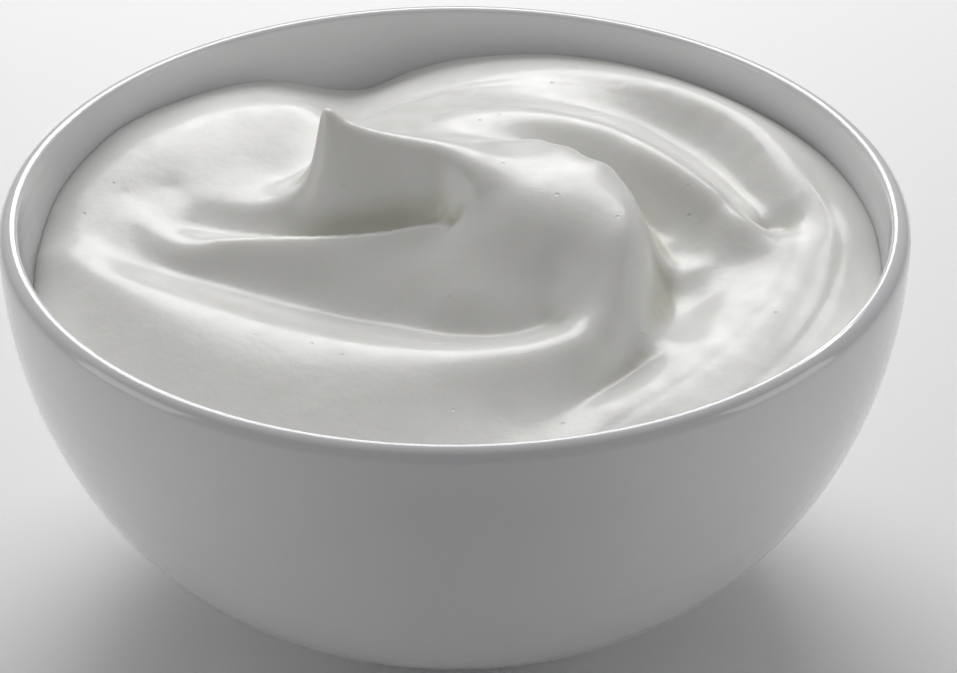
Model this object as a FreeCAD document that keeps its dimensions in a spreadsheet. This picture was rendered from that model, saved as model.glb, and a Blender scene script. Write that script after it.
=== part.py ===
"""A bowl of yogurt: a glazed porcelain bowl, filled with thick yogurt stirred into a swirl.

Millimetres, +Z up. The origin is on the table, at the centre of the foot ring. The spoon was
lifted out on the -X side, where the swirl's peak stands, and the bowl's front is -Y.

The bowl is a turned shell: an outer form, with a hollow cut out of it. The yogurt is cut by the
same hollow, so it fills the bowl down to its wall and floor. Only its top is free, and that is
one smooth surface, worked out from the folds that the spoon left.
"""
import FreeCAD, Part
import Sketcher
import math
import os
from FreeCAD import Vector

# ---------------------------------------------------------------- driving dimensions
SIZES = [
    ("rim_radius", 70.0, "outer radius of the lip"),
    ("bowl_height", 64.0, "from the table to the top of the lip"),
    ("wall", 3.0, "thickness of the wall at the lip"),
    ("lip_round", 2.2, "rounding of the lip's outer edge"),
    ("heel_slope", 18.0, "degrees at which the side starts to climb from the foot"),
    ("floor_radius", 24.0, "of the flat floor in the bowl"),
    ("floor_slope", 0.0, "degrees at which the inner side starts to climb from the floor"),
    ("base_thickness", 5.0, "of the floor, over the recess in the foot"),
    ("foot_radius", 31.5, "outer radius of the foot ring"),
    ("foot_width", 4.0, "of the foot ring"),
    ("foot_height", 2.5, "of the foot ring, and depth of its recess"),
    ("headroom", 30.0, "over the lip, more than the swirl's peak needs"),
    ("relief", 1.0, "height and depth of the swirl about the lip, as a share of those in its layout"),
    ("net_pitch", 2.0, "spacing of the points that the yogurt's top passes through"),
]

doc = FreeCAD.newDocument("bowl_of_yogurt")
sheet = doc.addObject("Spreadsheet::Sheet", "sizes")
for row, (alias, value, meaning) in enumerate(SIZES, start=1):
    sheet.set("A%d" % row, alias)
    sheet.set("B%d" % row, str(value))
    sheet.set("C%d" % row, meaning)
    sheet.setAlias("B%d" % row, alias)


def add_side(name, radius, height, low_radius, low_height, slope):
    """Works out a side of two smooth arcs, in cells of the sheet.

    It runs straight down from its top (radius, height), and comes in at the slope to its low end.
    The arcs' tangents are all of one length, so each arc follows from that length and its turn.
    """
    cells = [
        ("run", "%s - %s" % (radius, low_radius)),
        ("drop", "%s - %s" % (height, low_height)),
        ("sum", "{0}_run * cos(%s) + {0}_drop * (1 + sin(%s))" % (slope, slope)),
        ("rest", "2 - 2 * sin(%s)" % slope),
        ("tangent", "(sqrt({0}_sum ^ 2 + {0}_rest * ({0}_run ^ 2 + {0}_drop ^ 2)) - {0}_sum) / {0}_rest"),
        ("fall", "atan(({0}_drop - {0}_tangent * (1 + sin(%s))) / ({0}_run - {0}_tangent * cos(%s))) / 1 deg"
         % (slope, slope)),
        ("low_curve", "{0}_tangent / tan(({0}_fall - %s) / 2)" % slope),
        ("high_curve", "{0}_tangent / tan((90 - {0}_fall) / 2)"),
        ("middle_radius", "%s - {0}_low_curve * sin(%s)" % (low_radius, slope)),
        ("middle_height", "%s + {0}_low_curve * cos(%s)" % (low_height, slope)),
    ]
    for row, (part, formula) in enumerate(cells, start=sheet_rows[-1] + 1):
        sheet.set("A%d" % row, "%s_%s" % (name, part))
        sheet.set("B%d" % row, "=" + formula.format(name))
        sheet.setAlias("B%d" % row, "%s_%s" % (name, part))
        sheet_rows.append(row)
        doc.recompute()


sheet_rows = [len(SIZES)]
doc.recompute()
add_side("outer", "rim_radius", "(bowl_height - lip_round)", "foot_radius", "foot_height", "heel_slope")
add_side("inner", "(rim_radius - wall)", "(bowl_height - wall + lip_round)", "floor_radius",
         "(foot_height + base_thickness)", "floor_slope")


def size(alias):
    """The value of one cell of the sheet."""
    return float(sheet.get(alias))


# ---------------------------------------------------------------- sketches
X_AXIS, Y_AXIS, START, END, CENTRE = -1, -2, 1, 2, 3


def half_profile(body, name):
    """An empty sketch on the body's own XZ plane: its x is the radius, its y the height."""
    sketch = body.newObject("Sketcher::SketchObject", name)
    planes = [item for item in body.Origin.OriginFeatures if item.Role == "XZ_Plane"]
    sketch.AttachmentSupport = (planes[0], [""])
    sketch.MapMode = "FlatFace"
    return sketch


def line(sketch, start, end):
    return sketch.addGeometry(Part.LineSegment(Vector(*start, 0), Vector(*end, 0)), False)


def arc(sketch, centre, start, end):
    """An arc about the centre, anticlockwise from one point to the other."""
    angles = [math.atan2(p[1] - centre[1], p[0] - centre[0]) for p in (start, end)]
    circle = Part.Circle(Vector(*centre, 0), Vector(0, 0, 1), math.dist(centre, start))
    return sketch.addGeometry(Part.ArcOfCircle(circle, *angles), False)


def bind(sketch, constraint, name, formula):
    """Adds a named dimension to the sketch and ties it to the sheet."""
    index = sketch.addConstraint(constraint)
    sketch.renameConstraint(index, name)
    sketch.setExpression("Constraints." + name, formula)


def place(sketch, piece, end, name, radius, radius_formula, height, height_formula):
    """Sets the radius, the height or both of one end of a piece, by formulas on the sheet."""
    if radius_formula:
        bind(sketch, Sketcher.Constraint("DistanceX", X_AXIS, START, piece, end, radius),
             name + "_radius", radius_formula)
    if height_formula:
        bind(sketch, Sketcher.Constraint("DistanceY", X_AXIS, START, piece, end, height),
             name + "_height", height_formula)


def spin(body, sketch, name):
    """Turns the sketch round the bowl's axis."""
    turned = body.newObject("PartDesign::Revolution", name)
    turned.Profile = sketch
    turned.ReferenceAxis = (sketch, ["V_Axis"])
    turned.Angle = 360
    body.Tip = turned
    doc.recompute()
    return turned


def draw_side(sketch, name, shoulder, low_end):
    """Draws a side's two arcs, and places the lower one. Gives the lower and the upper arc."""
    low_middle = (size(name + "_middle_radius"), size(name + "_middle_height"))
    high_middle = (shoulder[0] - size(name + "_high_curve"), shoulder[1])
    fall = math.radians(size(name + "_fall"))
    low_curve = size(name + "_low_curve")
    meet = (low_middle[0] + low_curve * math.sin(fall), low_middle[1] - low_curve * math.cos(fall))
    low_arc = arc(sketch, low_middle, low_end, meet)
    high_arc = arc(sketch, high_middle, meet, shoulder)
    sketch.addConstraint(Sketcher.Constraint("Tangent", low_arc, END, high_arc, START))
    place(sketch, low_arc, CENTRE, name + "_middle", low_middle[0], "sizes.%s_middle_radius" % name,
          low_middle[1], "sizes.%s_middle_height" % name)
    return low_arc, high_arc


# ---------------------------------------------------------------- the bowl's outer form
def outer_form():
    """The bowl's outside as a solid: foot ring, side and the outer half of the lip."""
    rim, top, lip = size("rim_radius"), size("bowl_height"), size("lip_round")
    foot, foot_top = size("foot_radius"), size("foot_height")
    foot_inner = foot - size("foot_width")
    shoulder = (rim, top - lip)
    heel_end = (foot, foot_top)

    body = doc.addObject("PartDesign::Body", "outer_form")
    sketch = half_profile(body, "outer_profile")
    recess = line(sketch, (0, foot_top), (foot_inner, foot_top))
    recess_side = line(sketch, (foot_inner, foot_top), (foot_inner, 0))
    ring = line(sketch, (foot_inner, 0), (foot, 0))
    ring_side = line(sketch, (foot, 0), heel_end)
    heel_arc, side_arc = draw_side(sketch, "outer", shoulder, heel_end)
    lip_arc = arc(sketch, (rim - lip, top - lip), shoulder, (rim - lip, top))
    lid = line(sketch, (rim - lip, top), (0, top))
    axis = line(sketch, (0, top), (0, foot_top))
    chain = [recess, recess_side, ring, ring_side, heel_arc, side_arc, lip_arc, lid, axis]
    for first, second in zip(chain, chain[1:] + chain[:1]):
        kind = "Tangent" if second == lip_arc else "Coincident"
        if first != heel_arc:
            sketch.addConstraint(Sketcher.Constraint(kind, first, END, second, START))
    for flat in (recess, ring, lid):
        sketch.addConstraint(Sketcher.Constraint("Horizontal", flat))
    for upright in (recess_side, ring_side):
        sketch.addConstraint(Sketcher.Constraint("Vertical", upright))
    sketch.addConstraint(Sketcher.Constraint("PointOnObject", ring, START, X_AXIS))
    sketch.addConstraint(Sketcher.Constraint("PointOnObject", axis, START, Y_AXIS))
    sketch.addConstraint(Sketcher.Constraint("PointOnObject", axis, END, Y_AXIS))
    sketch.addConstraint(Sketcher.Constraint("Horizontal", lip_arc, CENTRE, lip_arc, START))
    sketch.addConstraint(Sketcher.Constraint("Vertical", lip_arc, CENTRE, lip_arc, END))
    place(sketch, side_arc, END, "rim", rim, "sizes.rim_radius", None, None)
    place(sketch, lid, START, "top", None, None, top, "sizes.bowl_height")
    place(sketch, ring_side, END, "foot", foot, "sizes.foot_radius", foot_top, "sizes.foot_height")
    place(sketch, recess, END, "recess", foot_inner, "sizes.foot_radius - sizes.foot_width",
          foot_top, "sizes.foot_height")
    bind(sketch, Sketcher.Constraint("Radius", lip_arc, lip), "lip", "sizes.lip_round")
    spin(body, sketch, "outer_turned")
    return body


# ---------------------------------------------------------------- the hollow
def hollow_form():
    """The space in the bowl: floor, side, the lip's inner edge and the air over it."""
    rim, top, lip, wall = size("rim_radius"), size("bowl_height"), size("lip_round"), size("wall")
    inner_lip = wall - lip
    floor = size("foot_height") + size("base_thickness")
    over = top + size("headroom")
    shoulder = (rim - wall, top - inner_lip)
    floor_end = (size("floor_radius"), floor)

    body = doc.addObject("PartDesign::Body", "hollow_form")
    sketch = half_profile(body, "hollow_profile")
    bottom = line(sketch, (0, floor), floor_end)
    heel_arc, side_arc = draw_side(sketch, "inner", shoulder, floor_end)
    lip_arc = arc(sketch, (rim - lip, shoulder[1]), (rim - lip, top), shoulder)
    mouth = line(sketch, (rim - lip, top), (rim - lip, over))
    lid = line(sketch, (rim - lip, over), (0, over))
    axis = line(sketch, (0, over), (0, floor))
    ends = [("Coincident", bottom, END, heel_arc, START),
            ("Tangent", side_arc, END, lip_arc, END), ("Coincident", lip_arc, START, mouth, START),
            ("Coincident", mouth, END, lid, START), ("Coincident", lid, END, axis, START),
            ("Coincident", axis, END, bottom, START)]
    for kind, *pair in ends:
        sketch.addConstraint(Sketcher.Constraint(kind, *pair))
    for flat in (bottom, lid):
        sketch.addConstraint(Sketcher.Constraint("Horizontal", flat))
    sketch.addConstraint(Sketcher.Constraint("Vertical", mouth))
    sketch.addConstraint(Sketcher.Constraint("PointOnObject", axis, START, Y_AXIS))
    sketch.addConstraint(Sketcher.Constraint("PointOnObject", axis, END, Y_AXIS))
    sketch.addConstraint(Sketcher.Constraint("Horizontal", lip_arc, CENTRE, lip_arc, END))
    sketch.addConstraint(Sketcher.Constraint("Vertical", lip_arc, CENTRE, lip_arc, START))
    place(sketch, side_arc, END, "inner_rim", rim - wall, "sizes.rim_radius - sizes.wall", None, None)
    place(sketch, mouth, START, "top", None, None, top, "sizes.bowl_height")
    place(sketch, bottom, END, "floor", floor_end[0], "sizes.floor_radius",
          floor, "sizes.foot_height + sizes.base_thickness")
    place(sketch, lid, START, "air", None, None, over, "sizes.bowl_height + sizes.headroom")
    bind(sketch, Sketcher.Constraint("Radius", lip_arc, inner_lip),
         "inner_lip", "sizes.wall - sizes.lip_round")
    spin(body, sketch, "hollow_turned")
    return body


# ---------------------------------------------------------------- the yogurt's top
# The swirl is laid out in a bowl of this inner radius, and spreads with the real one.
LAYOUT_RADIUS = 67.0
# Each stroke of the swirl is a crest, a crease or a shoulder that the spoon left: how soft it
# is, and its route over the bowl's plan, as points (x, y, height over the lip).
STROKES = {
    "peak": (1, [(-20.8, 17.2, 8.6), (-19.4, 17.6, 7.9), (-17.9, 17.3, 6.9)]),
    "crest": (0.8, [(-16, 14, 5.7), (-13, 13, 4.9), (-9.5, 12, 4.1), (-5.5, 10.5, 3.4), (-2, 9, 2.8),
        (1, 6.5, 2.3), (4, 4, 1.8)]),
    "middle_fold": (3, [(-4, 33, -3), (1.5, 35.5, -2.6), (10, 35, -2.1), (17.5, 32, -2),
        (25, 27.5, -2.3), (31.5, 22, -2.9), (37, 17.5, -3.6), (41, 13, -4.6), (44, 9, -5.6),
        (46.5, 7.5, -6.6)]),
    "dome_lip": (0.8, [(4.5, -15, -11), (9.5, -16.5, -10.3), (14, -16.5, -9.4)]),
    "middle_fold_foot": (1, [(33.5, 8, -10.7), (35.5, 4.5, -11.1), (37, 0, -10.9)]),
    "left_mound": (4, [(-57, 19.5, -8.6), (-48, 31.5, -6.2), (-38, 40, -4.8), (-30, 41.5, -4.4),
        (-23, 44.5, -5.8)]),
    "back_notch": (2, [(-16, 57.5, -11.2), (-19, 46, -9)]),
    "hollow_rim": (0.8, [(-45, 21.5, -8.2), (-40.5, 18.5, -8), (-33, 15, -8), (-27.5, 14, -6.9),
        (-24, 15.5, -4.2), (-22, 17.5, -0.8), (-21.5, 18, 2.6)]),
    "small_fold": (0.5, [(-52, 20, -8.6), (-49, 11.5, -9), (-42, 5, -9.2), (-36.5, 5, -8.2),
        (-28.5, 4.5, -7.4), (-21, 3.5, -6.8), (-11.5, 3.5, -6.1), (-5.5, 4, -5.2), (0, 3, -4.2)]),
    "front_crease": (0.8, [(-59, 12.5, -10), (-55, 8, -10.2), (-50, 3.5, -10.8), (-40.5, 0, -11.6),
        (-28.5, -6, -12.9), (-13, -10.5, -13.8), (1, -15.5, -12.7), (7, -17.5, -11.8),
        (13.5, -18.5, -10.1), (16, -19, -9.1)]),
    "front_fold": (4, [(-64.5, 6, -11.5), (-59.5, 1, -10.4), (-43.5, -9.5, -9), (-28, -19.5, -8.4),
        (-12.5, -26.5, -8), (2, -29.5, -7.8), (15.5, -28, -7.6), (21, -24, -7.5)]),
    "outer_fold": (4, [(-12.5, 53, -9), (-6, 56, -7.8), (2.5, 58, -6.6), (11, 58.5, -5.8),
        (19, 57, -5.2), (27, 53, -4.7), (35, 46.5, -4.3), (43, 38.5, -4.3), (48, 29.5, -4.8),
        (52, 19.5, -6), (55, 10.5, -7.6)]),
    "outer_fold_side": (5, [(19, 50.5, -5.6), (27, 48, -5.9), (35, 43.5, -6.5), (43, 36, -7.1),
        (47, 27.5, -7.6)]),
    "fold_tip_pocket": (0.8, [(48.5, 11, -10.8), (52, 10.5, -10)]),
    "right_sheet": (6, [(56.5, 11, -7.6), (56.5, 4.5, -8.2), (53, -6, -9.2), (46, -18.5, -10),
        (38, -29.5, -11), (28, -40.5, -12)]),
    "right_sheet_side": (5, [(45, -0.5, -9.8), (40.5, -13, -10.6)]),
    "dome_far_right": (4, [(24, 6, 2), (25, -1, 2), (25, -7, 0.9), (24.8, -12, -1.4), (24, -17, -4),
        (22.8, -21.5, -6.3)]),
    "dome_right": (4, [(19, 17, 1.5), (20, 9, 2.8), (20, 2, 3.2), (20, -4, 2), (20, -8, 0.5),
        (20, -12, -2.2), (20, -16, -4.8), (19.5, -20, -6.8)]),
    "dome_dimple": (2, [(13.5, 20, 1.3), (14.5, 12, 2.8), (15, 5, 3.1), (15, 1, 2.7), (15, -3, 1.5),
        (15, -6, 0), (15, -8.5, -2.3), (15, -10.5, -4.7), (15, -13, -6.5), (15, -15.5, -7.7)]),
    "dome_middle": (3, [(6, 19, 1.5), (9, 12, 2.7), (9.5, 6, 2.8), (9, 0, 1.2), (9, -4, -1.3),
        (9, -7.5, -4.2), (9, -11, -6.9), (9, -14, -8.5)]),
    "dome_left": (3, [(5, 2.5, 0.6), (3.5, 0, -1.6), (3, -4, -4.3), (3, -8, -6.9), (3, -12, -8.8)]),
    "dome_left_foot": (2, [(1, 1.5, -2.8), (-0.5, -2.5, -5.2), (-1.5, -7, -7.6), (-1, -11.5, -9.9)]),
    "small_fold_side": (2, [(-49, 9.5, -9.5), (-42, 3.2, -9.7), (-36.5, 3, -8.8), (-29, 2, -8.2),
        (-21, 1.2, -7.6), (-11.5, 1.4, -6.9), (-5.5, 1.6, -6.2)]),
    "behind_crest": (2.5, [(-16.5, 20, 2.6), (-11, 19, 2.2), (-4.5, 18.5, 1.9), (1, 18, 1.7)]),
    "under_crest": (0.8, [(-41.5, 12, -9.8), (-35.5, 9.8, -10.2), (-27.5, 8.4, -10.2),
        (-20, 7.8, -9.6), (-13, 7.2, -8.6), (-7, 6.8, -7), (-2.5, 5.8, -5)]),
    "outer_valley": (2.5, [(-1, 40.5, -4), (7.5, 43.5, -4.6), (15.5, 44.5, -5.6), (23, 44, -6.6),
        (31, 42, -7.8), (36.5, 37, -8.8), (41, 30.5, -9.4), (46, 20.5, -9.8), (49, 15, -9.6)]),
    "middle_valley": (1.2, [(-8, 25, -1.4), (3, 27, -2.4), (13, 26.5, -4.4), (20.5, 22.5, -7),
        (26.5, 16, -9), (30.5, 9.5, -10.2), (32.5, 3, -10.7)]),
    "dome_foot": (0.8, [(31.6, -3, -10.8), (31, -9, -10.8), (30, -14, -10.5), (29.2, -18.5, -10.4)]),
    "middle_fold_side": (4, [(14, 31.5, -2.6), (22, 27.5, -3.4), (29, 21.5, -4.7), (35, 15, -6.3),
        (39.5, 8.5, -8.2)]),
    "dome_edge": (2, [(25, 12, -0.2), (27.6, 4, 0), (28.3, -3, -0.1), (28.3, -8.5, -1.6),
        (27.6, -13.5, -4.2), (26.4, -18.5, -6.8)]),
    "right_crease": (0.6, [(29, -22.5, -11.2), (26.5, -26.5, -12.8), (21, -33, -12.9),
        (14, -41, -13.2)]),
    "front_fold_end": (4, [(23, -24.5, -8.6), (19.5, -29.5, -9.8), (13.5, -35, -11),
        (6, -39.5, -11.8)]),
    "small_fold_foot": (4, [(-38, 2, -10.2), (-32, 0, -10.6), (-26, -1.5, -10.9), (-18, -4, -11),
        (-10, -6, -10.6), (-5.5, -6.5, -9.6)]),
    "left_mound_edge": (6, [(-43, 23, -7.3), (-37.5, 26, -6.7), (-31, 30.5, -6.2), (-25, 35, -6.3)]),
    "behind_hollow_rim": (3, [(-26, 23, -7.8), (-21, 25, -6)]),
    "right_sheet_edge": (2, [(34.5, -22, -11), (31.5, -27.5, -11.3), (28.5, -31.5, -11.6),
        (22.5, -38, -12)]),
}
# Where the yogurt meets the wall: (degrees from +X, depth under the lip), once round.
WALL_LINE = [(177, 15.5), (172, 13.1), (166, 10.6), (160, 8.9), (149, 7.3), (143, 6.8), (133, 7.2),
             (122, 8), (115, 9.6), (110, 11.8), (103, 13.5), (98, 11.4), (92, 9.4), (86, 8.3), (75, 7),
             (61, 6.8), (44, 7.5), (26, 7.9), (10, 9), (0, 11), (-15, 12.3), (-40, 14), (-70, 16.2),
             (-100, 17.2), (-130, 17.2), (-160, 16.4)]
FINEST_STEP = 2.0        # between places on the sharpest stroke
SOFT_STEP = 0.5          # a stroke's places are this much wider apart for each unit of softness
MOST_ROUNDED = 2.5       # no stroke is rounded more than this
WALL_SOFTNESS = 3.0
SLACK = 0.2              # how far the surface may leave a stroke, for each unit of softness
NEAREST = 1.2            # two pins are never closer than this


def smooth_route(points, step):
    """The smooth curve through a stroke's points, as places about one step apart."""
    first = [2 * a - b for a, b in zip(points[0], points[1])]
    last = [2 * a - b for a, b in zip(points[-1], points[-2])]
    knots = [first] + list(points) + [last]
    places = []
    for a, b, c, d in zip(knots, knots[1:], knots[2:], knots[3:]):
        count = max(1, round(math.dist(b, c) / step))
        for t in [i / count for i in range(count)]:
            places.append([0.5 * (2 * q + (r - p) * t + (2 * p - 5 * q + 4 * r - s) * t * t
                                  + (3 * q - p - 3 * r + s) * t ** 3) for p, q, r, s in zip(a, b, c, d)])
    return places + [list(points[-1])]


def pins():
    """The places that hold the surface, as (x, y, height, softness)."""
    found = []
    for softness, points in STROKES.values():
        found += [(*place, softness) for place in smooth_route(points, FINEST_STEP + SOFT_STEP * softness)]
    ring = []
    for degrees, depth in WALL_LINE:
        turn = math.radians(degrees)
        ring.append((LAYOUT_RADIUS * math.cos(turn), LAYOUT_RADIUS * math.sin(turn), -depth))
    found += [(*place, WALL_SOFTNESS) for place in smooth_route(ring + ring[:1], 2 * FINEST_STEP)[:-1]]
    kept = []
    for pin in found:
        if all(math.dist(pin[:2], other[:2]) > NEAREST for other in kept):
            kept.append(pin)
    return kept


def solve(rows):
    """Solves a set of linear equations. Each row holds the factors and then the right side."""
    count = len(rows)
    for i in range(count):
        best = max(range(i, count), key=lambda k: abs(rows[k][i]))
        rows[i], rows[best] = rows[best], rows[i]
        pivot = rows[i]
        for k in range(i + 1, count):
            share = rows[k][i] / pivot[i]
            if share:
                rows[k][i:] = [v - share * p for v, p in zip(rows[k][i:], pivot[i:])]
    answer = [0.0] * count
    for i in reversed(range(count)):
        known = sum(f * v for f, v in zip(rows[i][i + 1:count], answer[i + 1:]))
        answer[i] = (rows[i][count] - known) / rows[i][i]
    return answer


def stretch(held):
    """The pull of each pin, and a level and two tilts, so that the surface passes by all the pins."""
    rows = []
    for x, y, height, softness in held:
        row = [math.hypot(x - p[0], y - p[1], min(p[3], MOST_ROUNDED)) for p in held]
        row[len(rows)] -= SLACK * softness
        rows.append(row + [1.0, x, y, height])
    for term in ([1.0] * len(held), [p[0] for p in held], [p[1] for p in held]):
        rows.append(term + [0.0, 0.0, 0.0, 0.0])
    return solve(rows)


def top_height(x, y, held, pulls):
    """Height of the yogurt over the lip at one place of the layout."""
    height = pulls[-3] + pulls[-2] * x + pulls[-1] * y
    for pin, pull in zip(held, pulls):
        height += pull * math.hypot(x - pin[0], y - pin[1], min(pin[3], MOST_ROUNDED))
    return height


def swirl_block():
    """A block under the yogurt's top: the top surface through a net of points, run down past
    the bowl's floor, even from the peak."""
    held = pins()
    pulls = stretch(held)
    spread = (size("rim_radius") - size("wall")) / LAYOUT_RADIUS
    half = size("rim_radius")
    steps = 2 * math.ceil(half / size("net_pitch"))
    places = [-half + 2 * half * i / steps for i in range(steps + 1)]
    net = []
    for x in places:
        column = []
        for y in places:
            over = size("relief") * top_height(x / spread, y / spread, held, pulls)
            column.append(Vector(x, y, size("bowl_height") + over))
        net.append(column)
    surface = Part.BSplineSurface()
    surface.interpolate(net)
    block = surface.toShape().extrude(Vector(0, 0, -size("bowl_height") - size("headroom")))
    feature = doc.addObject("Part::Feature", "swirl_block")
    feature.Shape = block
    feature.Placement = FreeCAD.Placement()
    return feature


# ---------------------------------------------------------------- the two pieces
outer = outer_form()
hollow = hollow_form()

bowl = doc.addObject("Part::Cut", "bowl")
bowl.Base = outer
bowl.Tool = hollow
bowl.Label = "bowl"

yogurt = doc.addObject("Part::Common", "yogurt")
yogurt.Base = swirl_block()
yogurt.Tool = hollow
yogurt.Label = "yogurt"
doc.recompute()

# ---------------------------------------------------------------- checks and export
for item in doc.Objects:
    if "Invalid" in item.State or "Error" in item.State:
        raise RuntimeError("%s failed: %s" % (item.Name, item.State))
os.makedirs("parts", exist_ok=True)
for piece in (bowl, yogurt):
    if piece.Shape.isNull() or not piece.Shape.isValid() or len(piece.Shape.Solids) != 1:
        raise RuntimeError("%s is not one valid solid" % piece.Label)
    piece.Shape.exportStep("parts/%s.step" % piece.Label)
    box = piece.Shape.BoundBox
    print("%s: %.0f cubic mm, z %.2f to %.2f" % (piece.Label, piece.Shape.Volume, box.ZMin, box.ZMax))
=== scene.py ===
"""A bowl of yogurt: a white glazed bowl, filled with thick yogurt stirred into a swirl."""
import math

import bmesh
import bpy
import numpy as np
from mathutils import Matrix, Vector


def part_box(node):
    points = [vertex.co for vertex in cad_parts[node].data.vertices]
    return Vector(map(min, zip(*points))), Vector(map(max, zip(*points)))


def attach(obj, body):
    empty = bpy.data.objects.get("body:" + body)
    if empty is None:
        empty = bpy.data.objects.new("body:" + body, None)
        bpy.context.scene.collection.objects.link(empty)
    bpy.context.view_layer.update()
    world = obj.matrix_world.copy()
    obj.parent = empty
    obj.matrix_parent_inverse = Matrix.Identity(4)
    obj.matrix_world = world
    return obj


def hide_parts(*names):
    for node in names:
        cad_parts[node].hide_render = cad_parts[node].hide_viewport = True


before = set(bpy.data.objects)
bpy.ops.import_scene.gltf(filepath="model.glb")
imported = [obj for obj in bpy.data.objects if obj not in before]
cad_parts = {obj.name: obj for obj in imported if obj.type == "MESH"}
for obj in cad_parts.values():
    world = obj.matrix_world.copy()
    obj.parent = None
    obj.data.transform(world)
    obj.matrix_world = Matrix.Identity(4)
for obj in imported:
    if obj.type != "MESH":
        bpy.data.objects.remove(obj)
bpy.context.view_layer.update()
_, bowl_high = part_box("bowl")
MM = 0.001


# ---------------------------------------------------------------- bowl
# A porcelain bowl, thrown in one piece on a turned foot ring: a gently upright side, and a lip
# rounded over by the sponge. It is dipped in clear glaze all over, and wiped bare under the foot.
RIM_RADIUS = bowl_high.x
RIM_TOP = bowl_high.z
WALL = 3.0 * MM
LIP_OUTER_ROUND = 2.2 * MM
FOOT_RADIUS = 31.5 * MM
FOOT_WIDTH = 4.0 * MM
FOOT_HEIGHT = 2.5 * MM
FOOT_EDGE_ROUND = 0.8 * MM
HEEL_SLOPE = math.radians(18)
FLOOR_RADIUS = 24.0 * MM
BASE_THICKNESS = 5.0 * MM
RECESS_RINGS = (0.3, 0.6, 0.9, 0.98)    # shares of the recess's radius
FOOT_STEPS = 3
SIDE_STEPS = 14
LIP_STEPS = 5
TURN_STEPS = 128
WELD = 0.001 * MM


def side_arcs(top, low, slope):
    """The two arcs of a side that starts straight down from its top and comes in at the slope."""
    inward = Vector((-math.cos(slope), -math.sin(slope)))
    chord = low - top
    both = inward + Vector((0, -1))
    share = 4 - both.length_squared
    across = chord.dot(both)
    tangent = (math.sqrt(across ** 2 + share * chord.length_squared) - across) / share
    corner = top + tangent * Vector((0, -1))
    low_corner = low - tangent * inward
    fall = math.atan2(corner.y - low_corner.y, corner.x - low_corner.x)
    high_radius = tangent / math.tan((math.pi / 2 - fall) / 2)
    low_radius = tangent / math.tan((fall - slope) / 2)
    high_middle = top - Vector((high_radius, 0))
    low_middle = low + low_radius * Vector((inward.y, -inward.x))
    return high_middle, math.pi / 2 - fall, low_middle, fall - slope


def sweep(shape, vert, middle, angle, steps):
    """Draws an arc on from the vertex, in the XZ plane. Gives its last vertex."""
    drawn = bmesh.ops.spin(shape, geom=[vert], cent=(middle.x, 0, middle.y), axis=(0, 1, 0),
                           angle=angle, steps=steps, use_duplicate=False)
    return [item for item in drawn["geom_last"] if isinstance(item, bmesh.types.BMVert)][0]


def draw_to(shape, vert, radius, height):
    """Draws a straight run on from the vertex. Gives its last vertex."""
    drawn = bmesh.ops.extrude_vert_indiv(shape, verts=[vert])
    drawn["verts"][0].co = (radius, 0, height)
    return drawn["verts"][0]


def finished(name, shape):
    """Makes the shape a piece of the object, with its faces smooth."""
    mesh = bpy.data.meshes.new(name)
    shape.to_mesh(mesh)
    shape.free()
    mesh.shade_smooth()
    piece = bpy.data.objects.new(name, mesh)
    bpy.context.scene.collection.objects.link(piece)
    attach(piece, "root")
    return piece


shape = bmesh.new()
foot_inner = FOOT_RADIUS - FOOT_WIDTH
outer_top = Vector((RIM_RADIUS, RIM_TOP - LIP_OUTER_ROUND))
outer_low = Vector((FOOT_RADIUS, FOOT_HEIGHT))
inner_top = Vector((RIM_RADIUS - WALL, RIM_TOP - WALL + LIP_OUTER_ROUND))
inner_low = Vector((FLOOR_RADIUS, FOOT_HEIGHT + BASE_THICKNESS))
high_middle, high_turn, low_middle, low_turn = side_arcs(outer_top, outer_low, HEEL_SLOPE)
last = shape.verts.new((0, 0, FOOT_HEIGHT))
for share in RECESS_RINGS:
    last = draw_to(shape, last, foot_inner * share, FOOT_HEIGHT)
last = draw_to(shape, last, foot_inner, FOOT_HEIGHT - FOOT_EDGE_ROUND / 2)
last = draw_to(shape, last, foot_inner, FOOT_EDGE_ROUND)
last = sweep(shape, last, Vector((foot_inner + FOOT_EDGE_ROUND, FOOT_EDGE_ROUND)),
             -math.pi / 2, FOOT_STEPS)
last = draw_to(shape, last, FOOT_RADIUS - FOOT_EDGE_ROUND, 0)
last = sweep(shape, last, Vector((FOOT_RADIUS - FOOT_EDGE_ROUND, FOOT_EDGE_ROUND)),
             -math.pi / 2, FOOT_STEPS)
last = draw_to(shape, last, FOOT_RADIUS, FOOT_HEIGHT * 0.8)    # keeps the foot's side straight
last = draw_to(shape, last, outer_low.x, outer_low.y)
last = sweep(shape, last, low_middle, -low_turn, SIDE_STEPS)
last = sweep(shape, last, high_middle, -high_turn, SIDE_STEPS)
for middle_height in (outer_top.y, inner_top.y):
    last = sweep(shape, last, Vector((RIM_RADIUS - LIP_OUTER_ROUND, middle_height)),
                 -math.pi / 2, LIP_STEPS)
high_middle, high_turn, low_middle, low_turn = side_arcs(inner_top, inner_low, 0)
last = sweep(shape, last, high_middle, high_turn, SIDE_STEPS)
last = sweep(shape, last, low_middle, low_turn, SIDE_STEPS)
last = draw_to(shape, last, FLOOR_RADIUS / 2, inner_low.y)
last = draw_to(shape, last, 0, inner_low.y)
bmesh.ops.spin(shape, geom=shape.verts[:] + shape.edges[:], cent=(0, 0, 0), axis=(0, 0, 1),
               angle=math.tau, steps=TURN_STEPS, use_merge=True, use_duplicate=False)
bmesh.ops.remove_doubles(shape, verts=shape.verts, dist=WELD)
bmesh.ops.recalc_face_normals(shape, faces=shape.faces)
bowl = finished("bowl_shell", shape)
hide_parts("bowl")

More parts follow.
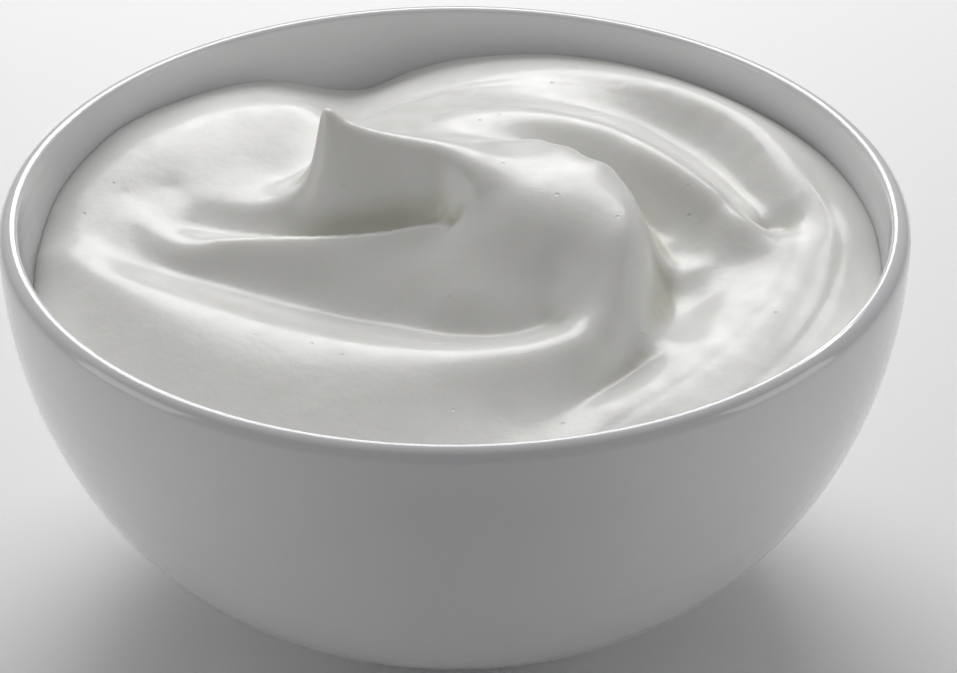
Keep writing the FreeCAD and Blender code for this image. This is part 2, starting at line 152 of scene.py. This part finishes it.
GLAZE_PALE = (0.88, 0.88, 0.89)
GLAZE_POOLED = (0.85, 0.855, 0.865)
BARE_BODY = (0.78, 0.76, 0.72)
BARE_HEIGHT = 0.7 * MM
BARE_ROUGHNESS = 0.55                   # more than the glaze's own
GLAZE_ROUGHNESS = (0.10, 0.17)
POOLS_PER_METRE = 28
GLOSS_PER_METRE = 160
TURNING_PER_METRE = 9
TURNING_STRETCH = (1, 1, 30)            # flattens the clouds to level lines
TURNING_DEPTH = 0.12 * MM
PEEL_PER_METRE = 420
PEEL_DEPTH = 0.01 * MM
GLAZE_COAT = 0.35
GLAZE_COAT_ROUGHNESS = 0.04


def new_material(name):
    """A new material. Gives it with its node tree, its shader and the Object coordinates."""
    material = bpy.data.materials.new(name)
    material.use_nodes = True
    tree = material.node_tree
    place = tree.nodes.new("ShaderNodeTexCoord").outputs["Object"]
    return material, tree, tree.nodes["Principled BSDF"], place


def cloud(tree, place, scale, detail=3.0, stretch=(1, 1, 1)):
    """A soft cloudy pattern, from 0 to 1, with so many clouds to the metre."""
    mapping = tree.nodes.new("ShaderNodeMapping")
    mapping.inputs["Scale"].default_value = stretch
    tree.links.new(place, mapping.inputs["Vector"])
    noise = tree.nodes.new("ShaderNodeTexNoise")
    noise.inputs["Scale"].default_value = scale
    noise.inputs["Detail"].default_value = detail
    tree.links.new(mapping.outputs["Vector"], noise.inputs["Vector"])
    return noise.outputs["Fac"]


def between(tree, share, low, high, first=0.0, last=1.0):
    """Carries a value that runs from low to high over to one from first to last."""
    node = tree.nodes.new("ShaderNodeMapRange")
    for socket, value in zip(("From Min", "From Max", "To Min", "To Max"), (low, high, first, last)):
        node.inputs[socket].default_value = value
    tree.links.new(share, node.inputs["Value"])
    return node.outputs["Result"]


def tinted(tree, share, first, second):
    """Mixes two colours, or a pattern and a colour, by the share."""
    node = tree.nodes.new("ShaderNodeMix")
    node.data_type = "RGBA"
    tree.links.new(share, node.inputs[0])
    for socket, colour in ((node.inputs[6], first), (node.inputs[7], second)):
        if isinstance(colour, tuple):
            socket.default_value = (*colour, 1)
        else:
            tree.links.new(colour, socket)
    return node.outputs[2]


def relief(tree, height, depth, under=None):
    """A fine relief so many metres deep, over the one before it."""
    node = tree.nodes.new("ShaderNodeBump")
    node.inputs["Distance"].default_value = depth
    tree.links.new(height, node.inputs["Height"])
    if under:
        tree.links.new(under, node.inputs["Normal"])
    return node.outputs["Normal"]


glaze, tree, shader, place = new_material("glazed_porcelain")
pooled = between(tree, cloud(tree, place, POOLS_PER_METRE), 0.4, 0.62)
height = tree.nodes.new("ShaderNodeSeparateXYZ")
tree.links.new(place, height.inputs["Vector"])
bare = between(tree, height.outputs["Z"], BARE_HEIGHT, BARE_HEIGHT * 0.6)
colour = tinted(tree, bare, tinted(tree, pooled, GLAZE_PALE, GLAZE_POOLED), BARE_BODY)
tree.links.new(colour, shader.inputs["Base Color"])
gloss = between(tree, cloud(tree, place, GLOSS_PER_METRE), 0.35, 0.65, *GLAZE_ROUGHNESS)
rough = tree.nodes.new("ShaderNodeMath")
rough.operation = "MULTIPLY_ADD"
rough.inputs[1].default_value = BARE_ROUGHNESS
tree.links.new(bare, rough.inputs[0])
tree.links.new(gloss, rough.inputs[2])
tree.links.new(rough.outputs["Value"], shader.inputs["Roughness"])
turned = relief(tree, cloud(tree, place, TURNING_PER_METRE, 2, TURNING_STRETCH), TURNING_DEPTH)
peel = relief(tree, cloud(tree, place, PEEL_PER_METRE, 2), PEEL_DEPTH, turned)
tree.links.new(peel, shader.inputs["Normal"])
shader.inputs["Coat Weight"].default_value = GLAZE_COAT
shader.inputs["Coat Roughness"].default_value = GLAZE_COAT_ROUGHNESS
bowl.data.materials.append(glaze)


# ---------------------------------------------------------------- yogurt
# Thick strained yogurt, spooned in and turned over itself. The spoon pushed up long folds round
# the back, a smooth dome in the middle and a pointed peak where it was lifted out.
_, yogurt_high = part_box("yogurt")
GRID_STEPS = 280
# Lengths from here to the side levels are in millimetres, and heights are over the lip.
SHEET_REACH = 66.0                      # the even grid ends here, and its edge follows the wall
EDGE_GRIP = 8                           # the higher, the nearer the edge its following starts
WALL_OVERLAP = 0.06
EDGE_ROUND = 0.4
EDGE_WIDTH = 0.5
FIRST_DEPTH = 10.0                      # a first guess at the depth of the edge under the lip
TIP_CLEARANCE = 0.05
PEAK_TOP = (yogurt_high.z - RIM_TOP) / MM - TIP_CLEARANCE
TIP_ROUND = 0.6
WHEY_SHADE_REACH = 2.2                        # how far off the banks of a hollow are looked for
WHEY_SHADE_START = 0.25                       # depth of a hollow at which the whey tint and painted shade start to show
WHEY_SHADE_DEPTH = 1.1
WHEY_SHADE_MOST = 0.6
SCRAPES = [[(54, 7), (50, -8), (38, -28), (21, -45)], [(57, 22), (60, 3), (53, -20), (36, -44)],
           [(-12, 46), (4, 50), (20, 50.5), (34, 45)], [(-6, 49), (12, 53.5), (27, 50)]]
SCRAPE_DEPTH = 0.07
SCRAPE_WIDTH = 0.9
LUMPS = 90
LUMP_SPREAD = 0.95                      # share of the sheet that holds lumps
LUMP_WIDTHS = (0.9, 3.2)
LUMP_HEIGHTS = (-0.05, 0.08)
STROKE_PITCH = 2.0
SLACK = 0.2                             # how far the sheet may leave a stroke, by its softness
MOST_ROUNDED = 2.5
NEAREST = 1.2                           # two pins are never closer than this
WALL_SOFTNESS = 3.0
LAYOUT_RADIUS = 67.0
SIDE_LEVELS = [36 * MM, 24 * MM, 14 * MM, 7 * MM, 3 * MM, 1 * MM, 0.1 * MM]    # over the floor
# Each stroke is a crest, a crease or a shoulder that the spoon left: how soft it is, and its route
# over the bowl's plan, as places (x, y, height).
STROKES = {
    "peak": (1, [(-20.8, 17.2, 8.6), (-19.4, 17.6, 7.9), (-17.9, 17.3, 6.9)]),
    "crest": (0.8, [(-16, 14, 5.7), (-13, 13, 4.9), (-9.5, 12, 4.1), (-5.5, 10.5, 3.4), (-2, 9, 2.8),
        (1, 6.5, 2.3), (4, 4, 1.8)]),
    "middle_fold": (3, [(-4, 33, -3), (1.5, 35.5, -2.6), (10, 35, -2.1), (17.5, 32, -2),
        (25, 27.5, -2.3), (31.5, 22, -2.9), (37, 17.5, -3.6), (41, 13, -4.6), (44, 9, -5.6),
        (46.5, 7.5, -6.6)]),
    "dome_lip": (0.8, [(4.5, -15, -11), (9.5, -16.5, -10.3), (14, -16.5, -9.4)]),
    "middle_fold_foot": (1, [(33.5, 8, -10.7), (35.5, 4.5, -11.1), (37, 0, -10.9)]),
    "left_mound": (4, [(-57, 19.5, -8.6), (-48, 31.5, -6.2), (-38, 40, -4.8), (-30, 41.5, -4.4),
        (-23, 44.5, -5.8)]),
    "back_notch": (2, [(-16, 57.5, -11.2), (-19, 46, -9)]),
    "hollow_rim": (0.8, [(-45, 21.5, -8.2), (-40.5, 18.5, -8), (-33, 15, -8), (-27.5, 14, -6.9),
        (-24, 15.5, -4.2), (-22, 17.5, -0.8), (-21.5, 18, 2.6)]),
    "small_fold": (0.5, [(-52, 20, -8.6), (-49, 11.5, -9), (-42, 5, -9.2), (-36.5, 5, -8.2),
        (-28.5, 4.5, -7.4), (-21, 3.5, -6.8), (-11.5, 3.5, -6.1), (-5.5, 4, -5.2), (0, 3, -4.2)]),
    "front_crease": (0.8, [(-59, 12.5, -10), (-55, 8, -10.2), (-50, 3.5, -10.8), (-40.5, 0, -11.6),
        (-28.5, -6, -12.9), (-13, -10.5, -13.8), (1, -15.5, -12.7), (7, -17.5, -11.8),
        (13.5, -18.5, -10.1), (16, -19, -9.1)]),
    "front_fold": (4, [(-64.5, 6, -11.5), (-59.5, 1, -10.4), (-43.5, -9.5, -9), (-28, -19.5, -8.4),
        (-12.5, -26.5, -8), (2, -29.5, -7.8), (15.5, -28, -7.6), (21, -24, -7.5)]),
    "outer_fold": (4, [(-12.5, 53, -9), (-6, 56, -7.8), (2.5, 58, -6.6), (11, 58.5, -5.8),
        (19, 57, -5.2), (27, 53, -4.7), (35, 46.5, -4.3), (43, 38.5, -4.3), (48, 29.5, -4.8),
        (52, 19.5, -6), (55, 10.5, -7.6)]),
    "outer_fold_side": (5, [(19, 50.5, -5.6), (27, 48, -5.9), (35, 43.5, -6.5), (43, 36, -7.1),
        (47, 27.5, -7.6)]),
    "fold_tip_pocket": (0.8, [(48.5, 11, -10.8), (52, 10.5, -10)]),
    "right_sheet": (6, [(56.5, 11, -7.6), (56.5, 4.5, -8.2), (53, -6, -9.2), (46, -18.5, -10),
        (38, -29.5, -11), (28, -40.5, -12)]),
    "right_sheet_side": (5, [(45, -0.5, -9.8), (40.5, -13, -10.6)]),
    "dome_far_right": (4, [(24, 6, 2), (25, -1, 2), (25, -7, 0.9), (24.8, -12, -1.4), (24, -17, -4),
        (22.8, -21.5, -6.3)]),
    "dome_right": (4, [(19, 17, 1.5), (20, 9, 2.8), (20, 2, 3.2), (20, -4, 2), (20, -8, 0.5),
        (20, -12, -2.2), (20, -16, -4.8), (19.5, -20, -6.8)]),
    "dome_dimple": (2, [(13.5, 20, 1.3), (14.5, 12, 2.8), (15, 5, 3.1), (15, 1, 2.7), (15, -3, 1.5),
        (15, -6, 0), (15, -8.5, -2.3), (15, -10.5, -4.7), (15, -13, -6.5), (15, -15.5, -7.7)]),
    "dome_middle": (3, [(6, 19, 1.5), (9, 12, 2.7), (9.5, 6, 2.8), (9, 0, 1.2), (9, -4, -1.3),
        (9, -7.5, -4.2), (9, -11, -6.9), (9, -14, -8.5)]),
    "dome_left": (3, [(5, 2.5, 0.6), (3.5, 0, -1.6), (3, -4, -4.3), (3, -8, -6.9), (3, -12, -8.8)]),
    "dome_left_foot": (2, [(1, 1.5, -2.8), (-0.5, -2.5, -5.2), (-1.5, -7, -7.6), (-1, -11.5, -9.9)]),
    "small_fold_side": (2, [(-49, 9.5, -9.5), (-42, 3.2, -9.7), (-36.5, 3, -8.8), (-29, 2, -8.2),
        (-21, 1.2, -7.6), (-11.5, 1.4, -6.9), (-5.5, 1.6, -6.2)]),
    "behind_crest": (2.5, [(-16.5, 20, 2.6), (-11, 19, 2.2), (-4.5, 18.5, 1.9), (1, 18, 1.7)]),
    "under_crest": (0.8, [(-41.5, 12, -9.8), (-35.5, 9.8, -10.2), (-27.5, 8.4, -10.2),
        (-20, 7.8, -9.6), (-13, 7.2, -8.6), (-7, 6.8, -7), (-2.5, 5.8, -5)]),
    "outer_valley": (2.5, [(-1, 40.5, -4), (7.5, 43.5, -4.6), (15.5, 44.5, -5.6), (23, 44, -6.6),
        (31, 42, -7.8), (36.5, 37, -8.8), (41, 30.5, -9.4), (46, 20.5, -9.8), (49, 15, -9.6)]),
    "middle_valley": (1.2, [(-8, 25, -1.4), (3, 27, -2.4), (13, 26.5, -4.4), (20.5, 22.5, -7),
        (26.5, 16, -9), (30.5, 9.5, -10.2), (32.5, 3, -10.7)]),
    "dome_foot": (0.8, [(31.6, -3, -10.8), (31, -9, -10.8), (30, -14, -10.5), (29.2, -18.5, -10.4)]),
    "middle_fold_side": (4, [(14, 31.5, -2.6), (22, 27.5, -3.4), (29, 21.5, -4.7), (35, 15, -6.3),
        (39.5, 8.5, -8.2)]),
    "dome_edge": (2, [(25, 12, -0.2), (27.6, 4, 0), (28.3, -3, -0.1), (28.3, -8.5, -1.6),
        (27.6, -13.5, -4.2), (26.4, -18.5, -6.8)]),
    "right_crease": (0.6, [(29, -22.5, -11.2), (26.5, -26.5, -12.8), (21, -33, -12.9),
        (14, -41, -13.2)]),
    "front_fold_end": (4, [(23, -24.5, -8.6), (19.5, -29.5, -9.8), (13.5, -35, -11),
        (6, -39.5, -11.8)]),
    "small_fold_foot": (4, [(-38, 2, -10.2), (-32, 0, -10.6), (-26, -1.5, -10.9), (-18, -4, -11),
        (-10, -6, -10.6), (-5.5, -6.5, -9.6)]),
    "left_mound_edge": (6, [(-43, 23, -7.3), (-37.5, 26, -6.7), (-31, 30.5, -6.2), (-25, 35, -6.3)]),
    "behind_hollow_rim": (3, [(-26, 23, -7.8), (-21, 25, -6)]),
    "right_sheet_edge": (2, [(34.5, -22, -11), (31.5, -27.5, -11.3), (28.5, -31.5, -11.6),
        (22.5, -38, -12)]),
}
# Where the yogurt meets the wall: (degrees from +X, depth under the lip), once round.
CONTACT = [(177, 15.5), (172, 13.1), (166, 10.6), (160, 8.9), (149, 7.3), (143, 6.8), (133, 7.2),
           (122, 8), (115, 9.6), (110, 11.8), (103, 13.5), (98, 11.4), (92, 9.4), (86, 8.3),
           (75, 7), (61, 6.8), (44, 7.5), (26, 7.9), (10, 9), (0, 11), (-15, 12.3), (-40, 14),
           (-70, 16.2), (-100, 17.2), (-130, 17.2), (-160, 16.4)]


def smooth_route(points, pitch):
    """The smooth curve through a stroke's points, at about one pitch apart."""
    before = 2 * np.array(points[0]) - points[1]
    after = 2 * np.array(points[-1]) - points[-2]
    knots = np.array([before, *points, after], float)
    stretches = []
    for a, b, c, d in zip(knots, knots[1:], knots[2:], knots[3:]):
        steps = max(1, round(math.dist(b, c) / pitch))
        t = np.arange(steps)[:, None] / steps
        stretches.append(0.5 * (2 * b + (c - a) * t + (2 * a - 5 * b + 4 * c - d) * t ** 2
                                + (3 * b - a - 3 * c + d) * t ** 3))
    return np.vstack([*stretches, knots[-2:-1]])


def membrane():
    """Pins a stretched surface to all the strokes. Gives its knots, with softness, and weights."""
    runs = []
    for softness, points in STROKES.values():
        route = smooth_route(points, STROKE_PITCH + softness / 2)
        runs.append(np.column_stack((route, np.full(len(route), float(softness)))))
    ring = [(LAYOUT_RADIUS * math.cos(math.radians(degrees)),
             LAYOUT_RADIUS * math.sin(math.radians(degrees)), -depth) for degrees, depth in CONTACT]
    route = smooth_route(ring + ring[:1], 2 * STROKE_PITCH)[:-1]
    runs.append(np.column_stack((route, np.full(len(route), WALL_SOFTNESS))))
    knots = np.vstack(runs)
    knots = knots[[i for i in range(len(knots))
                   if all(math.dist(knots[i][:2], other[:2]) > NEAREST for other in knots[:i])]]
    count = len(knots)
    spread = np.hypot(knots[:, None, 0] - knots[:, 0], knots[:, None, 1] - knots[:, 1])
    system = np.zeros((count + 3, count + 3))
    rounding = np.minimum(knots[:, 3], MOST_ROUNDED)
    system[:count, :count] = np.sqrt(spread ** 2 + rounding ** 2) - np.diag(SLACK * knots[:, 3])
    system[:count, count:] = np.column_stack((np.ones(count), knots[:, :2]))
    system[count:, :count] = system[:count, count:].T
    weights = np.linalg.solve(system, np.append(knots[:, 2], (0, 0, 0)))
    return knots, weights


def top_height(x, y, pinned):
    """Height of the yogurt over the lip at each place, in millimetres."""
    knots, weights = pinned
    height = weights[-3] + weights[-2] * x + weights[-1] * y
    for knot, weight in zip(knots, weights):
        rounding = min(knot[3], MOST_ROUNDED)
        height = height + weight * np.sqrt((x - knot[0]) ** 2 + (y - knot[1]) ** 2 + rounding ** 2)
    return height


shape = bmesh.new()
bmesh.ops.create_grid(shape, x_segments=GRID_STEPS, y_segments=GRID_STEPS, size=1)
square = np.array([vert.co for vert in shape.verts])
across = square[:, 0] * np.sqrt(1 - square[:, 1] ** 2 / 2)
along = square[:, 1] * np.sqrt(1 - square[:, 0] ** 2 / 2)


def wall_radius(height):
    """Inner radius of the bowl at a height, in metres, down to where its floor begins to curve."""
    top, turn, low, low_turn = side_arcs(inner_top, inner_low, 0)
    meet = top.y - (inner_top.x - top.x) * math.sin(turn)
    upper = top.x + np.sqrt(np.maximum((inner_top.x - top.x) ** 2 - (height - top.y) ** 2, 0))
    lower = low.x + np.sqrt(np.maximum((low.y - inner_low.y) ** 2 - (height - low.y) ** 2, 0))
    return np.where(height > meet, upper, lower)


radial = np.hypot(across, along)
reach = np.full(len(radial), wall_radius(RIM_TOP - FIRST_DEPTH * MM) / MM)
turn = np.arctan2(along, across)
pinned = membrane()
for _ in range(2):
    edge_height = top_height(reach * np.cos(turn), reach * np.sin(turn), pinned)
    reach = wall_radius(RIM_TOP + edge_height * MM) / MM + WALL_OVERLAP
reach = SHEET_REACH + (reach - SHEET_REACH) * radial ** EDGE_GRIP
x, y = across * reach, along * reach
z = top_height(x, y, pinned)
# Hollows are tinted darker and yellower than their banks, the deeper the more: partly a whey tint,
# partly painted shade in the creases.
banks = [top_height(x + WHEY_SHADE_REACH * step_x, y + WHEY_SHADE_REACH * step_y, pinned)
         for step_x, step_y in ((1, 0), (-1, 0), (0, 1), (0, -1))]
whey_and_shade = np.clip((sum(banks) / len(banks) - z - WHEY_SHADE_START) / WHEY_SHADE_DEPTH, 0, WHEY_SHADE_MOST)

for route in SCRAPES:
    line = smooth_route(route, 1.0)
    off = np.min([np.hypot(x - px, y - py) for px, py in line], axis=0)
    z -= SCRAPE_DEPTH * np.exp(-(off / SCRAPE_WIDTH) ** 2)
luck = np.random.default_rng(11)
for _ in range(LUMPS):
    turned = luck.uniform(0, math.tau)
    out = SHEET_REACH * math.sqrt(luck.uniform(0, LUMP_SPREAD))
    broad = luck.uniform(*LUMP_WIDTHS)
    tall = luck.uniform(*LUMP_HEIGHTS)
    off = np.hypot(x - out * math.cos(turned), y - out * math.sin(turned))
    z += tall * np.exp(-(off / broad) ** 2)
# The tip of the peak is rounded off, and the edge of the sheet sinks where it meets the wall.
over = z - (PEAK_TOP - TIP_ROUND)
z = np.where(over > 0, PEAK_TOP - TIP_ROUND * np.exp(-np.maximum(over, 0) / TIP_ROUND), z)
z -= EDGE_ROUND * np.exp(-(reach * (1 - radial)) / EDGE_WIDTH)
layer = shape.verts.layers.float.new("whey_and_shade")
for vert, place, share in zip(shape.verts, np.column_stack((x, y, z)).tolist(), whey_and_shade.tolist()):
    vert.co = (place[0] * MM, place[1] * MM, RIM_TOP + place[2] * MM)
    vert[layer] = share
ring = [edge for edge in shape.edges if edge.is_boundary]
for level in SIDE_LEVELS:
    drawn = bmesh.ops.extrude_edge_only(shape, edges=ring)["geom"]
    ring = [item for item in drawn if isinstance(item, bmesh.types.BMEdge)]
    for vert in [item for item in drawn if isinstance(item, bmesh.types.BMVert)]:
        turned = math.atan2(vert.co.y, vert.co.x)
        height = inner_low.y + level
        radius = float(wall_radius(np.array(height))) + WALL_OVERLAP * MM
        vert.co = (radius * math.cos(turned), radius * math.sin(turned), height)
bmesh.ops.edgeloop_fill(shape, edges=[edge for edge in shape.edges if edge.is_boundary])
bmesh.ops.recalc_face_normals(shape, faces=shape.faces)
yogurt = finished("yogurt_swirl", shape)
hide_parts("yogurt")

CURD_PALE = (0.88, 0.875, 0.85)
CURD_DEEP = (0.84, 0.835, 0.80)
# A darker yellowish colour, for the hollows and the pits: a whey tint with painted shade.
WHEY_AND_SHADE = (0.70, 0.68, 0.56)
MOTTLES_PER_METRE = 90
PITS_PER_METRE = 240
PIT_REACH = 0.10                        # radius of a pit, as a share of its cell
PIT_RARITY = (0.68, 0.72)               # only cells that draw more than this hold a pit
# How far a pit is tinted towards the darker colour: painted shade in the pit.
PIT_SHADE_TINT = 0.25
PIT_DEPTH = 0.1 * MM
MOIST_PER_METRE = 260
MOIST_ROUGHNESS = (0.28, 0.44)
STREAKS_PER_METRE = 120
STREAK_DEPTH = 0.2 * MM
GRAINS_PER_METRE = 900
GRAIN_DEPTH = 0.04 * MM
SHEEN = {"IOR": 1.38, "Coat Weight": 0.22, "Coat Roughness": 0.16, "Subsurface Weight": 0.45,
         "Subsurface Radius": (1.0, 0.85, 0.65), "Subsurface Scale": 3 * MM}
cream, tree, shader, place = new_material("strained_yogurt")
mottle = between(tree, cloud(tree, place, MOTTLES_PER_METRE, 5), 0.35, 0.7)
# The hollows take the darker whey colour: painted shade in the creases, with a whey tint.
crease = tree.nodes.new("ShaderNodeAttribute")
crease.attribute_name = "whey_and_shade"
colour = tinted(tree, crease.outputs["Fac"], tinted(tree, mottle, CURD_PALE, CURD_DEEP), WHEY_AND_SHADE)
cells = tree.nodes.new("ShaderNodeTexVoronoi")
cells.inputs["Scale"].default_value = PITS_PER_METRE
tree.links.new(place, cells.inputs["Vector"])
chosen = tree.nodes.new("ShaderNodeSeparateColor")
tree.links.new(cells.outputs["Color"], chosen.inputs["Color"])
hole = tree.nodes.new("ShaderNodeMath")
hole.operation = "MULTIPLY"
tree.links.new(between(tree, cells.outputs["Distance"], PIT_REACH, PIT_REACH * 0.4), hole.inputs[0])
tree.links.new(between(tree, chosen.outputs["Red"], *PIT_RARITY), hole.inputs[1])
# Each pit is tinted towards the darker whey colour: painted shade in the pits.
pit_shade_share = between(tree, hole.outputs["Value"], 0, 1, 0, PIT_SHADE_TINT)
tree.links.new(tinted(tree, pit_shade_share, colour, WHEY_AND_SHADE), shader.inputs["Base Color"])
moist = between(tree, cloud(tree, place, MOIST_PER_METRE, 3), 0.35, 0.65, *MOIST_ROUGHNESS)
tree.links.new(moist, shader.inputs["Roughness"])
streaks = relief(tree, cloud(tree, place, STREAKS_PER_METRE, 4), STREAK_DEPTH)
grains = relief(tree, cloud(tree, place, GRAINS_PER_METRE, 3), GRAIN_DEPTH, streaks)
pits = relief(tree, hole.outputs["Value"], PIT_DEPTH, grains)
pits.node.invert = True
tree.links.new(pits, shader.inputs["Normal"])
for socket, value in SHEEN.items():
    shader.inputs[socket].default_value = value
yogurt.data.materials.append(cream)


# ---------------------------------------------------------------- floor, light and camera
# A plain pale table top and a pale backdrop. A low soft light from behind draws out the folds, with
# a small one beside it, and weaker ones from over the top and from each side fill the shade.
FLOOR_HALF = 0.9
FLOOR_PALE = ((0.93, 0.93, 0.93), (0.95, 0.95, 0.95))
FLOOR_CLOUDS_PER_METRE = 12
FLOOR_ROUGHNESS = 0.6
LIGHTS = {    # name: (place, size, watts)
    "light_over_back": ((-0.03, 0.45, 0.40), 0.35, 2.1),
    "light_back_right": ((0.2, 0.42, 0.46), 0.05, 0.15),
    "light_over_top": ((0, 0.0, 0.85), 0.9, 0.9),
    "light_right": ((0.7, -0.12, 0.26), 0.4, 0.85),
    "light_left": ((-0.7, -0.12, 0.26), 0.4, 0.85),
}
LIT_POINT = Vector((0, 0, 0.05))
AIR = (0.9, 0.9, 0.92, 1)
AIR_GLOW = 0.11
BACKDROP_GLOW = 0.7
shape = bmesh.new()
bmesh.ops.create_grid(shape, x_segments=1, y_segments=1, size=FLOOR_HALF)
mesh = bpy.data.meshes.new("floor")
shape.to_mesh(mesh)
shape.free()
floor = bpy.data.objects.new("floor", mesh)
bpy.context.scene.collection.objects.link(floor)
table, tree, shader, place = new_material("pale_table")
pale = tinted(tree, cloud(tree, place, FLOOR_CLOUDS_PER_METRE), *FLOOR_PALE)
tree.links.new(pale, shader.inputs["Base Color"])
shader.inputs["Roughness"].default_value = FLOOR_ROUGHNESS
floor.data.materials.append(table)

for name, (position, size, watts) in LIGHTS.items():
    light = bpy.data.lights.new(name, "AREA")
    light.energy = watts
    light.size = size
    lamp = bpy.data.objects.new(name, light)
    bpy.context.scene.collection.objects.link(lamp)
    lamp.location = position
    lamp.rotation_euler = (LIT_POINT - Vector(position)).to_track_quat("-Z", "Y").to_euler()

world = bpy.data.worlds.new("studio")
world.use_nodes = True
tree = world.node_tree
air = tree.nodes["Background"]
backdrop = tree.nodes.new("ShaderNodeBackground")
for glow, strength in ((air, AIR_GLOW), (backdrop, BACKDROP_GLOW)):
    glow.inputs["Color"].default_value = AIR
    glow.inputs["Strength"].default_value = strength
seen = tree.nodes.new("ShaderNodeLightPath")
either = tree.nodes.new("ShaderNodeMixShader")
tree.links.new(seen.outputs["Is Camera Ray"], either.inputs["Fac"])
tree.links.new(air.outputs["Background"], either.inputs[1])
tree.links.new(backdrop.outputs["Background"], either.inputs[2])
tree.links.new(either.outputs["Shader"], tree.nodes["World Output"].inputs["Surface"])
bpy.context.scene.world = world
bpy.context.scene.view_settings.view_transform = "Standard"

CAMERA_DISTANCE = 0.7
CAMERA_RISE = math.radians(29.5)
SENSOR_WIDTH = 36
FOCAL_LENGTH = 171.35
NEAR_CLIP = 0.01
SIGHT_RIGHT = 0.0036
SIGHT_DOWN = 0.01975
camera = bpy.data.objects.new("camera", bpy.data.cameras.new("camera"))
bpy.context.scene.collection.objects.link(camera)
camera.data.sensor_width = SENSOR_WIDTH
camera.data.lens = FOCAL_LENGTH
camera.data.clip_start = NEAR_CLIP
camera.location = (0, -CAMERA_DISTANCE * math.cos(CAMERA_RISE),
                   RIM_TOP + CAMERA_DISTANCE * math.sin(CAMERA_RISE))
upward = Vector((0, math.sin(CAMERA_RISE), math.cos(CAMERA_RISE)))
sight = Vector((SIGHT_RIGHT, 0, RIM_TOP)) - SIGHT_DOWN * upward
camera.rotation_euler = (sight - camera.location).to_track_quat("-Z", "Y").to_euler()
bpy.context.scene.camera = camera
